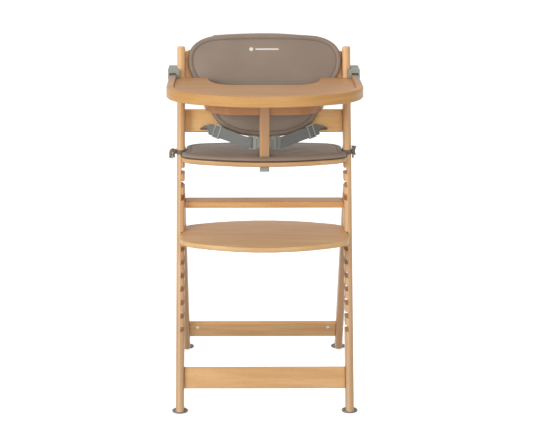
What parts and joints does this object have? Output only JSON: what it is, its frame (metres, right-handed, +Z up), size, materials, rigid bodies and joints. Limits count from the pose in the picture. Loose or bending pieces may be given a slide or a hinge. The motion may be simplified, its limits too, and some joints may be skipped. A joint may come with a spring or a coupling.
{
  "type": "baby high chair",
  "caption": "Wooden grow-with-me high chair with leaning posts, grooved seat and footrest boards, bentwood tray, pads and waist harness.",
  "frame": {"origin": "floor level, at the middle of the bounding box seen from above", "axes": "+Z up; -Y towards the front of the chair, where the tray is; +X to the right as seen from the front"},
  "size_m": [0.442, 0.606, 0.8142],
  "materials": {
    "wood": "clear satin lacquer on solid beech",
    "wood_shaded": "clear satin lacquer on bent beech laminate",
    "leatherette": "matt taupe coated fabric",
    "ribbon": "woven taupe ribbon",
    "webbing": "grey woven webbing",
    "grey_plastic": "fine matt grey moulding",
    "glide_plastic": "worn grey moulding",
    "steel": "zinc plated"
  },
  "bodies": {
    "frame": {"post_left": "wood", "rear_leg_left": "wood", "front_rail_bolt_left": "steel", "mid_rail_bolt_left": "steel", "lower_board_bolt_left": "steel", "upper_board_bolt_left": "steel", "rear_rail_bolt_left": "steel", "front_glide_left": "glide_plastic", "rear_glide_left": "glide_plastic", "front_rail_nut_left": "steel", "rear_rail_nut_left": "steel", "leg_bolt_left": "steel", "leg_dowel_left": "wood_shaded", "tray_support_pin_left": "steel", "post_right": "wood", "rear_leg_right": "wood", "front_rail_bolt_right": "steel", "mid_rail_bolt_right": "steel", "lower_board_bolt_right": "steel", "upper_board_bolt_right": "steel", "rear_rail_bolt_right": "steel", "front_glide_right": "glide_plastic", "rear_glide_right": "glide_plastic", "front_rail_nut_right": "steel", "rear_rail_nut_right": "steel", "leg_bolt_right": "steel", "leg_dowel_right": "wood_shaded", "tray_support_pin_right": "steel", "front_rail": "wood", "mid_rail": "wood", "rear_rail": "wood", "lower_back_board": "wood", "upper_back_board": "wood", "seat_board": "wood", "seat_pad": "leatherette", "back_pad": "leatherette", "pad_hood": "leatherette", "pad_tie_left": "ribbon", "pad_tie_right": "ribbon", "waist_strap_left": "webbing", "waist_strap_right": "webbing", "buckle_tongue_left": "grey_plastic", "buckle_tongue_right": "grey_plastic", "buckle_body": "grey_plastic", "button_spring": "steel", "crotch_strap": "webbing", "strap_stop": "grey_plastic"},
    "footrest": {"footrest_board": "wood"},
    "tray": {"tray_panel": "wood", "tray_rim": "wood", "belly_band": "wood_shaded", "crotch_post": "wood", "crotch_shoe": "grey_plastic", "crotch_screw_lower": "steel", "crotch_screw_upper": "steel", "tray_bracket_left": "grey_plastic", "tray_bracket_right": "grey_plastic"},
    "slider_left": {"strap_slider_left": "grey_plastic"},
    "slider_right": {"strap_slider_right": "grey_plastic"},
    "button": {"buckle_button": "grey_plastic"}
  },
  "joints": [
    {"name": "tray_lift", "type": "slide", "parent": "frame", "child": "tray", "axis": [0, 0, 1], "range_m": [0, 0.06]},
    {"name": "footrest_slide", "type": "slide", "parent": "frame", "child": "footrest", "axis": [0, -1, 0], "range_m": [0, 0.12]},
    {"name": "slider_left_slide", "type": "slide", "parent": "frame", "child": "slider_left", "axis": [0.7333, -0.665, -0.1412], "range_m": [0, 0.03]},
    {"name": "slider_right_slide", "type": "slide", "parent": "frame", "child": "slider_right", "axis": [-0.7333, -0.665, -0.1412], "range_m": [0, 0.03]},
    {"name": "button_press", "type": "slide", "parent": "frame", "child": "button", "axis": [0, 1, 0], "range_m": [0, 0.0025], "stiffness_N_per_m": 600, "springref_m": -0.001, "deforming": ["button_spring"]}
  ]
}
